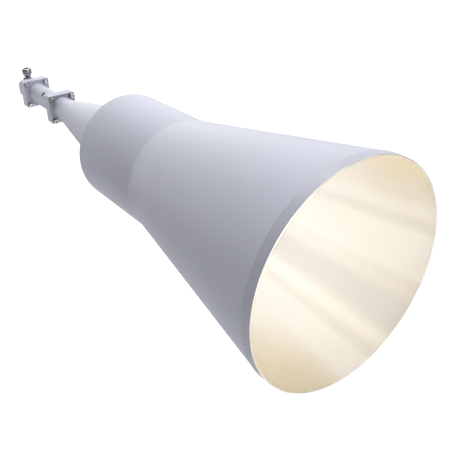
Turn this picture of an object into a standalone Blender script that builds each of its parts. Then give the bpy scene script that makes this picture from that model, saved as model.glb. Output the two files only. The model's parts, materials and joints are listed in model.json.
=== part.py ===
"""Conical waveguide horn antenna with a round-to-rectangular transition and a coaxial adapter.

Frame: metres. +Z is up, towards the coaxial connector. The boresight is -Y: the mouth faces -Y and the feed is at +Y.
The origin is on the horn's axis, at the middle of the cylindrical collar, where a clamp holds the antenna.
A station S is the distance behind the mouth plane, so y = S - S_ORIGIN.
"""

import math

import bmesh
import bpy
from mathutils import Matrix

MM = 0.001
GAP = 0.3 * MM  # clearance between pieces that touch

# Horn body
S_ORIGIN = 313.5 * MM  # station of the middle of the collar
MOUTH_R = 108.0 * MM  # outer radius of the mouth ring
MOUTH_RING_LENGTH = 10.4 * MM
RIM_T = 1.3 * MM  # the ring thins towards its front edge
CONE_R0 = 109.45 * MM  # outer cone radius, extended to the mouth plane
TAPER = 0.1668  # radius lost per unit of length
WALL = 2.0 * MM  # sheet thickness, square to the sheet
COLLAR_R = 67.4 * MM
COLLAR_S0 = 253.0 * MM  # the collar's front edge, flush with the cone
COLLAR_S1 = 374.0 * MM
COLLAR_NOSE = 13.0 * MM  # solid front part of the collar, which carries the bore
COLLAR_EDGE = 1.6 * MM  # rounding of its rear edge
REAR_PLATE_S0 = 367.5 * MM
REAR_PLATE_S1 = 373.0 * MM
HUB_R = 16.6 * MM
HUB_S0 = 557.3 * MM
THROAT_R = 11.9 * MM  # circular guide

# Square flanges (WR-90)
FLANGE = 41.4 * MM
FLANGE_CORNER = 2.8 * MM
FLANGE_T = 7.2 * MM
HOLE_DX = 31.0 * MM / 2
HOLE_DZ = 32.5 * MM / 2
HOLE_R = 2.2 * MM
GASKET_T = 0.5 * MM
THROAT_FLANGE_S = 573.7 * MM  # front face of the throat flange
REAR_FLANGE_S = 672.2 * MM  # front face of the transition's rear flange
JOINT_T = 2 * FLANGE_T + GASKET_T + 2 * GAP  # flange, gasket, flange
TRANSITION_R = 15.2 * MM
GUIDE_W = 22.86 * MM
GUIDE_H = 10.16 * MM

# Port with a plug, on the transition
PORT_S = 621.5 * MM
PORT_ANGLE = math.radians(130)  # from +X towards +Z
PORT_R = 3.6 * MM
PORT_BOTTOM_R = 12.9 * MM

# Coaxial adapter
BODY_W = 29.2 * MM
BODY_H = 22.0 * MM
BODY_CORNER = 4.0 * MM
BODY_S1 = 713.2 * MM
BACKSHORT_T = 2.0 * MM
BOSS = 15.0 * MM
BOSS_TOP = 12.8 * MM
CONNECTOR_S = 706.4 * MM
PROBE_HOLE_R = 2.4 * MM

# N-type jack
JACK_PLATE = 13.4 * MM
JACK_PLATE_Z0 = 13.8 * MM
JACK_PLATE_Z1 = 15.6 * MM
JACK_SCREW = 4.6 * MM
JACK_TOP = 32.6 * MM

# Flange fasteners, M4
SHANK_R = 1.9 * MM
HEAD_R = 3.6 * MM
HEAD_H = 4.2 * MM
WASHER_R = 4.5 * MM
WASHER_T = 0.8 * MM
LOCK_R = 3.6 * MM
LOCK_T = 1.0 * MM
NUT_AF = 7.0 * MM
NUT_H = 3.2 * MM

for old in list(bpy.data.objects):
    bpy.data.objects.remove(old, do_unlink=True)


def material(name, colour, roughness, metallic):
    made = bpy.data.materials.new(name)
    made.use_nodes = True
    shader = made.node_tree.nodes["Principled BSDF"]
    shader.inputs["Base Color"].default_value = (*colour, 1.0)
    shader.inputs["Roughness"].default_value = roughness
    shader.inputs["Metallic"].default_value = metallic
    made.diffuse_color = (*colour, 1.0)
    return made


PAINT = material("grey_paint", (0.50, 0.50, 0.56), 0.5, 0.0)
RIM = material("bare_aluminium", (0.78, 0.75, 0.72), 0.35, 1.0)
STEEL = material("stainless_steel", (0.60, 0.60, 0.60), 0.28, 1.0)
NICKEL = material("nickel_plate", (0.62, 0.59, 0.58), 0.18, 1.0)
PTFE = material("ptfe", (0.90, 0.90, 0.88), 0.45, 0.0)
GOLD = material("gold_plated_brass", (0.83, 0.62, 0.25), 0.25, 1.0)
RUBBER = material("conductive_elastomer", (0.05, 0.05, 0.055), 0.7, 0.0)


def cone_r(s):
    """Outer radius of the sheet cone at a station."""
    return CONE_R0 - TAPER * s


def bore_r(s):
    """Inner radius of the sheet cone at a station."""
    return cone_r(s) - WALL / math.cos(math.atan(TAPER))


def finish(bm, name, mat, matrix=None, smooth=True):
    """Turns a bmesh into a named object with one material."""
    bmesh.ops.remove_doubles(bm, verts=bm.verts, dist=1e-7)
    bmesh.ops.recalc_face_normals(bm, faces=bm.faces)
    if matrix is not None:
        bm.transform(matrix)
    mesh = bpy.data.meshes.new(name)
    bm.to_mesh(mesh)
    bm.free()
    if smooth:
        mesh.shade_smooth()
        mesh.set_sharp_from_angle(angle=math.radians(32))
    obj = bpy.data.objects.new(name, mesh)
    if mat is not None:
        obj.data.materials.append(mat)
    bpy.context.scene.collection.objects.link(obj)
    return obj


def turned(name, profile, mat, steps, axis="Y", smooth=True):
    """Solid of revolution. The profile is a closed loop of (distance along the axis, radius) points."""
    bm = bmesh.new()
    if axis == "Y":
        verts = [bm.verts.new((r, along, 0)) for along, r in profile]
        spin_axis = (0, 1, 0)
    else:
        verts = [bm.verts.new((r, 0, along)) for along, r in profile]
        spin_axis = (0, 0, 1)
    edges = []
    for i, vert in enumerate(verts):
        after = (i + 1) % len(verts)
        if profile[i][1] > 0 or profile[after][1] > 0:
            edges.append(bm.edges.new((vert, verts[after])))
    bmesh.ops.spin(
        bm,
        geom=verts + edges,
        cent=(0, 0, 0),
        axis=spin_axis,
        angle=2 * math.pi,
        steps=steps,
        use_merge=True,
    )
    return finish(bm, name, mat, smooth=smooth)


def rounded_rectangle(width, height, radius, steps=4):
    """Points round a rectangle with round corners, centred on the axis."""
    points = []
    for quarter, (sx, sz) in enumerate(((1, 1), (-1, 1), (-1, -1), (1, -1))):
        cx, cz = sx * (width / 2 - radius), sz * (height / 2 - radius)
        for i in range(steps + 1):
            a = math.pi / 2 * (quarter + i / steps)
            points.append((cx + radius * math.cos(a), cz + radius * math.sin(a)))
    return points


def circle(cx, cz, radius, steps):
    return [
        (
            cx + radius * math.cos(2 * math.pi * i / steps),
            cz + radius * math.sin(2 * math.pi * i / steps),
        )
        for i in range(steps)
    ]


def plate(name, outline, holes, start, thickness, mat, axis="Y", smooth=True):
    """A flat plate with holes, its outline in X and Z (or X and Y), extruded along the axis from start."""
    bm = bmesh.new()
    edges = []
    for loop in [outline, *holes]:
        if axis == "Y":
            verts = [bm.verts.new((a, start, b)) for a, b in loop]
        else:
            verts = [bm.verts.new((a, b, start)) for a, b in loop]
        edges += [
            bm.edges.new((verts[i], verts[(i + 1) % len(verts)]))
            for i in range(len(verts))
        ]
    bmesh.ops.triangle_fill(bm, use_beauty=True, use_dissolve=False, edges=edges)
    made = bmesh.ops.extrude_face_region(bm, geom=bm.faces[:])
    moved = [v for v in made["geom"] if isinstance(v, bmesh.types.BMVert)]
    shift = (0, thickness, 0) if axis == "Y" else (0, 0, thickness)
    bmesh.ops.translate(bm, verts=moved, vec=shift)
    return finish(bm, name, mat, smooth=smooth)


def cutter(obj):
    obj.hide_render = True
    obj.display_type = "WIRE"
    return obj


def boolean(obj, other, operation):
    made = obj.modifiers.new(f"{operation.lower()}_{other.name}", "BOOLEAN")
    made.operation = operation
    made.solver = "EXACT"
    made.object = cutter(other)


def baked(obj):
    """The object's mesh with its modifiers applied, for pieces that share one mesh."""
    graph = bpy.context.evaluated_depsgraph_get()
    graph.update()
    mesh = bpy.data.meshes.new_from_object(obj.evaluated_get(graph))
    helpers = [m.object for m in obj.modifiers if m.type == "BOOLEAN"]
    for used in [obj, *helpers]:
        bpy.data.objects.remove(used, do_unlink=True)
    mesh.shade_smooth()
    mesh.set_sharp_from_angle(angle=math.radians(32))
    return mesh


def copy_of(mesh, name, location, parent=None):
    obj = bpy.data.objects.new(name, mesh)
    obj.location = location
    obj.parent = parent
    bpy.context.scene.collection.objects.link(obj)
    return obj


def y_of(s):
    return s - S_ORIGIN


def stations(profile):
    """A profile given by station, as distances along Y."""
    return [(y_of(s), r) for s, r in profile]


# ---------------------------------------------------------------- horn body
EDGE = 0.4 * MM
turned(
    "mouth_ring",
    stations(
        [
            (0, MOUTH_R - EDGE),
            (EDGE, MOUTH_R),
            (MOUTH_RING_LENGTH, MOUTH_R),
            (MOUTH_RING_LENGTH, bore_r(MOUTH_RING_LENGTH)),
            (0, MOUTH_R - RIM_T),
        ]
    ),
    RIM,
    80,
)

front_s0 = MOUTH_RING_LENGTH + GAP
front_s1 = COLLAR_S0 - GAP
turned(
    "front_cone",
    stations(
        [
            (front_s0, cone_r(front_s0)),
            (front_s1, cone_r(front_s1)),
            (front_s1, bore_r(front_s1)),
            (front_s0, bore_r(front_s0)),
        ]
    ),
    PAINT,
    80,
)

nose = COLLAR_S0 + COLLAR_NOSE
sleeve_in = COLLAR_R - WALL
rear_edge = [
    (
        COLLAR_S1 - COLLAR_EDGE + COLLAR_EDGE * math.sin(a),
        COLLAR_R - COLLAR_EDGE + COLLAR_EDGE * math.cos(a),
    )
    for a in (math.radians(d) for d in (0, 45, 90))
]
turned(
    "collar_sleeve",
    stations(
        [
            (COLLAR_S0, COLLAR_R),
            *rear_edge,
            (COLLAR_S1, sleeve_in),
            (nose, sleeve_in),
            (nose, bore_r(nose)),
            (COLLAR_S0, bore_r(COLLAR_S0)),
        ]
    ),
    PAINT,
    80,
)
turned(
    "collar_rear_plate",
    stations(
        [
            (REAR_PLATE_S0, sleeve_in - GAP),
            (REAR_PLATE_S1, sleeve_in - GAP),
            (REAR_PLATE_S1, cone_r(REAR_PLATE_S1) + GAP),
            (REAR_PLATE_S0, cone_r(REAR_PLATE_S0) + GAP),
        ]
    ),
    PAINT,
    80,
)

rear_s0 = nose + GAP
rear_s1 = HUB_S0 - GAP
turned(
    "rear_cone",
    stations(
        [
            (rear_s0, cone_r(rear_s0)),
            (rear_s1, cone_r(rear_s1)),
            (rear_s1, bore_r(rear_s1)),
            (rear_s0, bore_r(rear_s0)),
        ]
    ),
    PAINT,
    64,
)


# ------------------------------------------------------------ square flanges
def screw_holes(radius=HOLE_R, steps=12):
    return [
        circle(sx * HOLE_DX, sz * HOLE_DZ, radius, steps)
        for sx in (-1, 1)
        for sz in (-1, 1)
    ]


def guide_opening(spare=0.0, steps=2):
    return rounded_rectangle(
        GUIDE_W + 2 * spare, GUIDE_H + 2 * spare, 0.8 * MM, steps
    )


def flange(name, s0, thickness, openings, mat):
    return plate(
        name,
        rounded_rectangle(FLANGE, FLANGE, FLANGE_CORNER),
        [*screw_holes(), *openings],
        y_of(s0),
        thickness,
        mat,
    )


# The throat flange has a hub that the sheet cone is brazed to, flush on the outside.
throat = flange("throat_flange", THROAT_FLANGE_S, FLANGE_T, [], PAINT)
hub = turned(
    "cut_hub",
    stations(
        [
            (HUB_S0, 0),
            (HUB_S0, HUB_R),
            (THROAT_FLANGE_S + 2 * MM, HUB_R),
            (THROAT_FLANGE_S + 2 * MM, 0),
        ]
    ),
    None,
    48,
)
throat_bore = turned(
    "cut_throat_bore",
    stations(
        [
            (HUB_S0 - 3 * MM, 0),
            (HUB_S0 - 3 * MM, bore_r(HUB_S0 - 3 * MM)),
            ((bore_r(0) - THROAT_R) / TAPER, THROAT_R),
            (THROAT_FLANGE_S + FLANGE_T + 2 * MM, THROAT_R),
            (THROAT_FLANGE_S + FLANGE_T + 2 * MM, 0),
        ]
    ),
    None,
    48,
)
boolean(throat, hub, "UNION")
boolean(throat, throat_bore, "DIFFERENCE")

gasket_s = THROAT_FLANGE_S + FLANGE_T + GAP
flange(
    "throat_gasket",
    gasket_s,
    GASKET_T,
    [circle(0, 0, THROAT_R + GAP, 28)],
    RUBBER,
)
transition_s0 = gasket_s + GASKET_T + GAP
transition_s1 = REAR_FLANGE_S + FLANGE_T
flange(
    "transition_front_flange",
    transition_s0,
    FLANGE_T,
    [circle(0, 0, TRANSITION_R + GAP, 40)],
    PAINT,
)
flange(
    "transition_rear_flange",
    REAR_FLANGE_S,
    FLANGE_T,
    [circle(0, 0, TRANSITION_R + GAP, 40)],
    PAINT,
)
guide_gasket_s = transition_s1 + GAP
flange("guide_gasket", guide_gasket_s, GASKET_T, [guide_opening(GAP)], RUBBER)
adapter_s0 = guide_gasket_s + GASKET_T + GAP
flange("adapter_flange", adapter_s0, FLANGE_T, [guide_opening()], PAINT)


# ---------------------------------------------------------------- transition
def transition_tube():
    """A round tube whose bore changes from a circle at the horn to the rectangle of the guide."""
    count = 40
    bm = bmesh.new()
    half_w, half_h = GUIDE_W / 2, GUIDE_H / 2

    def bore_point(angle, t):
        c, s = math.cos(angle), math.sin(angle)
        scale = min(
            half_w / abs(c) if abs(c) > 1e-9 else 1e9,
            half_h / abs(s) if abs(s) > 1e-9 else 1e9,
        )
        round_r = THROAT_R
        r = round_r + (scale - round_r) * t
        return r * c, r * s

    corner = math.atan2(half_h, half_w)
    angles = []
    for quarter in range(4):
        base = quarter * math.pi / 2
        here = corner if quarter % 2 == 0 else math.pi / 2 - corner
        angles += [base + here * i / 5 for i in range(5)]
        angles += [base + here + (math.pi / 2 - here) * i / 5 for i in range(5)]
    levels = 8
    inner = []
    for level in range(levels + 1):
        t = level / levels
        y = y_of(transition_s0) + (transition_s1 - transition_s0) * t
        ease = t * t * (3 - 2 * t)
        inner.append(
            [bm.verts.new((x, y, z)) for x, z in (bore_point(a, ease) for a in angles)]
        )
    outer = [
        [
            bm.verts.new((TRANSITION_R * math.cos(a), y_of(s), TRANSITION_R * math.sin(a)))
            for a in angles
        ]
        for s in (transition_s0, transition_s1)
    ]
    rings = [*inner, outer[1], outer[0]]
    for ring, after in zip(rings, [*rings[1:], rings[0]]):
        for i in range(count):
            j = (i + 1) % count
            bm.faces.new((ring[i], ring[j], after[j], after[i]))
    return finish(bm, "transition_tube", PAINT)


tube = transition_tube()
# +Z of this frame points out of the tube through the port.
port_frame = Matrix.Translation((0, y_of(PORT_S), 0)) @ Matrix.Rotation(
    math.pi / 2 - PORT_ANGLE, 4, "Y"
)
port = turned(
    "cut_port",
    [
        (PORT_BOTTOM_R, 0),
        (PORT_BOTTOM_R, PORT_R),
        (TRANSITION_R + 2 * MM, PORT_R),
        (TRANSITION_R + 2 * MM, 0),
    ],
    None,
    20,
    axis="Z",
)
port.matrix_world = port_frame
boolean(tube, port, "DIFFERENCE")

plug = turned(
    "port_plug",
    [
        (PORT_BOTTOM_R + GAP, 0),
        (PORT_BOTTOM_R + GAP, PORT_R - GAP),
        (PORT_BOTTOM_R + 1.3 * MM, PORT_R - GAP),
        (PORT_BOTTOM_R + 1.5 * MM, PORT_R - GAP - 0.2 * MM),
        (PORT_BOTTOM_R + 1.5 * MM, 1.5 * MM),
        (PORT_BOTTOM_R + 0.8 * MM, 1.5 * MM),
        (PORT_BOTTOM_R + 0.8 * MM, 0),
    ],
    PAINT,
    16,
    axis="Z",
)
plug.matrix_world = port_frame

# ------------------------------------------------------------------- adapter
body_s0 = adapter_s0 + FLANGE_T + GAP
body = plate(
    "adapter_body",
    rounded_rectangle(BODY_W, BODY_H, BODY_CORNER),
    [guide_opening()],
    y_of(body_s0),
    BODY_S1 - body_s0,
    PAINT,
)
cy = y_of(CONNECTOR_S)


def at_connector(points):
    return [(x, y + cy) for x, y in points]


boss_front = cy - BOSS / 2
boss = plate(
    "cut_boss",
    [
        (-BOSS / 2, boss_front),
        (BOSS / 2, boss_front),
        (BOSS / 2, y_of(BODY_S1 - 0.2 * MM)),
        (-BOSS / 2, y_of(BODY_S1 - 0.2 * MM)),
    ],
    [],
    BODY_H / 2 - 1 * MM,
    BOSS_TOP - BODY_H / 2 + 1 * MM,
    None,
    axis="Z",
)
probe_hole = turned(
    "cut_probe_hole",
    [
        (GUIDE_H / 2 - 2 * MM, 0),
        (GUIDE_H / 2 - 2 * MM, PROBE_HOLE_R),
        (BOSS_TOP + 2 * MM, PROBE_HOLE_R),
        (BOSS_TOP + 2 * MM, 0),
    ],
    None,
    24,
    axis="Z",
)
probe_hole.location = (0, cy, 0)
boolean(body, boss, "UNION")
boolean(body, probe_hole, "DIFFERENCE")
tapped = [
    (sx * JACK_SCREW, sy * JACK_SCREW) for sx in (-1, 1) for sy in (-1, 1)
]
for i, (x, y) in enumerate(tapped):
    hole = turned(
        f"cut_tapped_{i}",
        [
            (9.2 * MM, 0),
            (9.2 * MM, 1.4 * MM),
            (BOSS_TOP + 2 * MM, 1.4 * MM),
            (BOSS_TOP + 2 * MM, 0),
        ],
        None,
        12,
        axis="Z",
    )
    hole.location = (x, cy + y, 0)
    boolean(body, hole, "DIFFERENCE")

plate(
    "backshort_plate",
    rounded_rectangle(BODY_W, BODY_H, BODY_CORNER),
    [],
    y_of(BODY_S1 + GAP),
    BACKSHORT_T,
    PAINT,
)

# ----------------------------------------------------------------- N-type jack
square = rounded_rectangle(JACK_PLATE, JACK_PLATE, 1.0 * MM, 3)
plate(
    "connector_gasket",
    at_connector(square),
    [
        at_connector(circle(0, 0, PROBE_HOLE_R, 16)),
        *[at_connector(circle(x, y, 1.4 * MM, 8)) for x, y in tapped],
    ],
    BOSS_TOP + GAP,
    0.4 * MM,
    RUBBER,
    axis="Z",
)
jack = plate(
    "connector_shell",
    at_connector(square),
    [at_connector(circle(x, y, 1.4 * MM, 10)) for x, y in tapped],
    JACK_PLATE_Z0,
    JACK_PLATE_Z1 - JACK_PLATE_Z0,
    NICKEL,
    axis="Z",
)
barrel = turned(
    "cut_barrel",
    [
        (JACK_PLATE_Z0 + 0.5 * MM, 0),
        (JACK_PLATE_Z0 + 0.5 * MM, 4.1 * MM),
        (18.4 * MM, 4.1 * MM),
        (19.3 * MM, 4.5 * MM),
        (21.5 * MM, 6.1 * MM),
        (23.7 * MM, 7.3 * MM),
        (25.6 * MM, 7.95 * MM),
        (JACK_TOP - 2.3 * MM, 7.95 * MM),
        (JACK_TOP - 0.9 * MM, 7.2 * MM),
        (JACK_TOP, 6.2 * MM),
        (JACK_TOP, 0),
    ],
    None,
    32,
    axis="Z",
)
barrel.location = (0, cy, 0)
jack_bore = turned(
    "cut_jack_bore",
    [
        (JACK_PLATE_Z0 - 1 * MM, 0),
        (JACK_PLATE_Z0 - 1 * MM, PROBE_HOLE_R),
        (23.0 * MM, PROBE_HOLE_R),
        (23.0 * MM, 4.3 * MM),
        (JACK_TOP - 0.9 * MM, 4.3 * MM),
        (JACK_TOP + 0.5 * MM, 5.6 * MM),
        (JACK_TOP + 0.5 * MM, 0),
    ],
    None,
    28,
    axis="Z",
)
jack_bore.location = (0, cy, 0)
boolean(jack, barrel, "UNION")
boolean(jack, jack_bore, "DIFFERENCE")

dielectric = turned(
    "dielectric",
    [
        (GUIDE_H / 2 + 0.2 * MM, 0.95 * MM),
        (GUIDE_H / 2 + 0.2 * MM, PROBE_HOLE_R - GAP),
        (23.3 * MM, PROBE_HOLE_R - GAP),
        (23.3 * MM, 4.0 * MM),
        (25.2 * MM, 4.0 * MM),
        (25.2 * MM, 0.95 * MM),
    ],
    PTFE,
    16,
    axis="Z",
)
dielectric.location = (0, cy, 0)
contact = turned(
    "centre_contact",
    [
        (-0.6 * MM, 0),
        (-0.6 * MM, 0.65 * MM),
        (25.5 * MM, 0.65 * MM),
        (25.5 * MM, 1.5 * MM),
        (30.0 * MM, 1.5 * MM),
        (30.2 * MM, 1.3 * MM),
        (30.2 * MM, 0.85 * MM),
        (26.4 * MM, 0.85 * MM),
        (26.4 * MM, 0),
    ],
    GOLD,
    16,
    axis="Z",
)
contact.location = (0, cy, 0)
probe = turned(
    "probe_tip",
    [
        (-1.8 * MM, 0),
        (-1.8 * MM, 1.3 * MM),
        (-1.5 * MM, 1.6 * MM),
        (4.9 * MM, 1.6 * MM),
        (4.9 * MM, 0.95 * MM),
        (-0.9 * MM, 0.95 * MM),
        (-0.9 * MM, 0),
    ],
    GOLD,
    16,
    axis="Z",
)
probe.location = (0, cy, 0)

jack_screw = turned(
    "jack_screw",
    [
        (9.6 * MM, 0),
        (9.6 * MM, 1.1 * MM),
        (JACK_PLATE_Z1 + GAP, 1.1 * MM),
        (JACK_PLATE_Z1 + GAP, 2.05 * MM),
        (JACK_PLATE_Z1 + 1.3 * MM, 2.05 * MM),
        (JACK_PLATE_Z1 + 1.8 * MM, 1.5 * MM),
        (JACK_PLATE_Z1 + 1.8 * MM, 0),
    ],
    STEEL,
    12,
    axis="Z",
)
slot = plate(
    "cut_slot",
    [
        (-3 * MM, -0.3 * MM),
        (3 * MM, -0.3 * MM),
        (3 * MM, 0.3 * MM),
        (-3 * MM, 0.3 * MM),
    ],
    [],
    JACK_PLATE_Z1 + 1.1 * MM,
    2 * MM,
    None,
    axis="Z",
)
boolean(jack_screw, slot, "DIFFERENCE")
jack_screw_mesh = baked(jack_screw)
for i, (x, y) in enumerate(tapped):
    copy_of(jack_screw_mesh, f"connector_screw_{i + 1}", (x, cy + y, 0))


# ------------------------------------------------------------ flange hardware
def hexagon(across_flats):
    r = across_flats / math.sqrt(3)
    return [
        (r * math.cos(math.pi / 3 * i), r * math.sin(math.pi / 3 * i)) for i in range(6)
    ]


# Each is modelled on its own axis, from the joint's front face at y = 0 backwards.
head_y1 = -GAP - WASHER_T - GAP
head_y0 = head_y1 - HEAD_H
nut_side = JOINT_T + GAP + LOCK_T + GAP
screw = turned(
    "cap_screw",
    [
        (head_y0, 0),
        (head_y0, HEAD_R - 0.4 * MM),
        (head_y0 + 0.4 * MM, HEAD_R),
        (head_y1, HEAD_R),
        (head_y1, SHANK_R),
        (nut_side + NUT_H + 1.1 * MM, SHANK_R),
        (nut_side + NUT_H + 1.6 * MM, SHANK_R - 0.5 * MM),
        (nut_side + NUT_H + 1.6 * MM, 0),
    ],
    STEEL,
    16,
)
socket = plate(
    "cut_socket", hexagon(3.4 * MM), [], head_y0 - 1 * MM, 3.2 * MM, None
)
boolean(screw, socket, "DIFFERENCE")
screw_mesh = baked(screw)

washer_mesh = baked(
    turned(
        "washer",
        [
            (-GAP - WASHER_T, WASHER_R),
            (-GAP, WASHER_R),
            (-GAP, HOLE_R + 0.1 * MM),
            (-GAP - WASHER_T, HOLE_R + 0.1 * MM),
        ],
        STEEL,
        16,
    )
)


def lock_washer():
    """A spring washer: a ring that is cut through, with its ends a little apart."""
    bm = bmesh.new()
    count, cut = 14, math.radians(9)
    y0, y1 = JOINT_T + GAP, JOINT_T + GAP + LOCK_T
    rings = []
    for i in range(count + 1):
        a = math.radians(90) + cut + (2 * math.pi - 2 * cut) * i / count
        rings.append(
            [
                bm.verts.new((r * math.cos(a), y, r * math.sin(a)))
                for r, y in (
                    (HOLE_R, y0),
                    (LOCK_R, y0),
                    (LOCK_R, y1),
                    (HOLE_R, y1),
                )
            ]
        )
    for ring, after in zip(rings, rings[1:]):
        for i in range(4):
            j = (i + 1) % 4
            bm.faces.new((ring[i], ring[j], after[j], after[i]))
    bm.faces.new(rings[0])
    bm.faces.new(rings[-1])
    return finish(bm, "lock", STEEL)


lock_mesh = baked(lock_washer())
nut_mesh = baked(
    plate(
        "nut",
        hexagon(NUT_AF),
        [circle(0, 0, HOLE_R, 12)],
        nut_side,
        NUT_H,
        STEEL,
    )
)
for joint, front_s in (("throat", THROAT_FLANGE_S), ("guide", REAR_FLANGE_S)):
    mark = bpy.data.objects.new(f"{joint}_joint", None)
    mark.location = (0, y_of(front_s), 0)
    bpy.context.scene.collection.objects.link(mark)
    number = 0
    for sz in (1, -1):
        for sx in (-1, 1):
            number += 1
            place = (sx * HOLE_DX, 0, sz * HOLE_DZ)
            copy_of(screw_mesh, f"{joint}_screw_{number}", place, mark)
            copy_of(washer_mesh, f"{joint}_washer_{number}", place, mark)
            copy_of(lock_mesh, f"{joint}_lock_washer_{number}", place, mark)
            copy_of(nut_mesh, f"{joint}_nut_{number}", place, mark)
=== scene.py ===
"""Conical horn antenna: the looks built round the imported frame.

The horn's axis is Y. The mouth faces -Y, and the coaxial jack points to +Z. A station S is the distance
behind the mouth's plane, so y = S - S_ORIGIN.
"""

import json
import math

import bmesh
import bpy
from mathutils import Matrix, Vector, noise

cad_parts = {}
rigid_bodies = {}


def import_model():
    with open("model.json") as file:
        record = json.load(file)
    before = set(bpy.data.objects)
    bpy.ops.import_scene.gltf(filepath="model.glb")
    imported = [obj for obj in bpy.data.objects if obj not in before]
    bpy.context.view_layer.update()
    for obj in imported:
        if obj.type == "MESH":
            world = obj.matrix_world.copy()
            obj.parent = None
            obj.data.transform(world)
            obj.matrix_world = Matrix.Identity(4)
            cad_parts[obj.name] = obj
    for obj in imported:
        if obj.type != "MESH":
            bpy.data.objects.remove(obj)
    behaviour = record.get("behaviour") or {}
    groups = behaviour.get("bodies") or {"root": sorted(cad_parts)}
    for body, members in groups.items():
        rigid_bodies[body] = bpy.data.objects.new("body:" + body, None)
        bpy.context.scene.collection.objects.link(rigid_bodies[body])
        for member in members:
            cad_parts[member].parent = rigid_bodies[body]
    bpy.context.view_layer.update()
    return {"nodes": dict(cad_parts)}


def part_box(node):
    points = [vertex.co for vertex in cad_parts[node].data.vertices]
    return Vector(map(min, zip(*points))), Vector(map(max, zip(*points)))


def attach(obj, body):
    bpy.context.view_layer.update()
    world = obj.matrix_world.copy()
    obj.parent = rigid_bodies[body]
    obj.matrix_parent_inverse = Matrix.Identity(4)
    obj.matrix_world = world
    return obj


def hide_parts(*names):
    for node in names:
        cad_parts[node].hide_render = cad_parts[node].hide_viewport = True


for old in list(bpy.data.objects):
    bpy.data.objects.remove(old, do_unlink=True)

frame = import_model()
NODES = frame["nodes"]

MM = 0.001
GAP = 0.3 * MM
TAU = 2 * math.pi

# ------------------------------------------------------------------ measures
# The driving sizes of the frame; the stations along the axis come from the nodes' boxes.
S_ORIGIN = -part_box("mouth_ring")[0].y


def front(node):
    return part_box(node)[0].y + S_ORIGIN


def back(node):
    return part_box(node)[1].y + S_ORIGIN


def y_of(s):
    return s - S_ORIGIN


MOUTH_R = 108.0 * MM
MOUTH_LIP = back("mouth_ring")
CONE_R0 = 109.45 * MM
TAPER = 0.1668
WALL = 2.0 * MM
RIM_T = 1.3 * MM
COLLAR_R = 67.4 * MM
COLLAR_S0 = front("collar_sleeve")
COLLAR_S1 = back("collar_sleeve")
COLLAR_NOSE = 13.0 * MM
REAR_PLATE_S0 = front("collar_rear_plate")
REAR_PLATE_S1 = back("collar_rear_plate")
HUB_R = 16.6 * MM
HUB_S0 = front("throat_flange")
THROAT_R = 11.9 * MM
FLANGE = 41.4 * MM
FLANGE_CORNER = 2.8 * MM
FLANGE_T = 7.2 * MM
HOLE_DX = 15.5 * MM
HOLE_DZ = 16.25 * MM
HOLE_R = 2.2 * MM
THROAT_FLANGE_S = back("throat_flange") - FLANGE_T
THROAT_GASKET_S = front("throat_gasket")
TRANSITION_S0 = front("transition_tube")
TRANSITION_S1 = back("transition_tube")
REAR_FLANGE_S = front("transition_rear_flange")
GUIDE_GASKET_S = front("guide_gasket")
ADAPTER_S0 = front("adapter_flange")
GASKET_T = back("throat_gasket") - front("throat_gasket")
JOINT_T = 2 * FLANGE_T + GASKET_T + 2 * GAP
TRANSITION_R = 15.2 * MM
GUIDE_W = 22.86 * MM
GUIDE_H = 10.16 * MM
PORT_S = 621.5 * MM
PORT_ANGLE = math.radians(130)
PORT_R = 3.6 * MM
PORT_BOTTOM_R = 12.9 * MM
BODY_W = 29.2 * MM
BODY_H = 22.0 * MM
BODY_CORNER = 4.0 * MM
BODY_S0 = front("adapter_body")
BODY_S1 = back("adapter_body")
BACKSHORT_S1 = back("backshort_plate")
BOSS = 15.0 * MM
BOSS_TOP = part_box("adapter_body")[1].z
JACK_PLATE = 13.4 * MM
JACK_PLATE_Z0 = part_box("connector_shell")[0].z
JACK_PLATE_Z1 = JACK_PLATE_Z0 + 1.8 * MM
JACK_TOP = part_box("connector_shell")[1].z
JACK_SCREW = 4.6 * MM
JACK_Y = (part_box("connector_shell")[0].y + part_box("connector_shell")[1].y) / 2
PROBE_HOLE_R = 2.4 * MM
SHANK_R = 1.9 * MM
HEAD_R = 3.6 * MM
HEAD_H = 4.2 * MM
WASHER_R = 4.5 * MM
WASHER_T = 0.8 * MM
LOCK_R = 3.6 * MM
LOCK_T = 1.0 * MM
NUT_AF = 7.0 * MM
NUT_H = 3.2 * MM


def cone_r(s):
    return CONE_R0 - TAPER * s


def bore_r(s):
    return cone_r(s) - WALL / math.cos(math.atan(TAPER))


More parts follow.
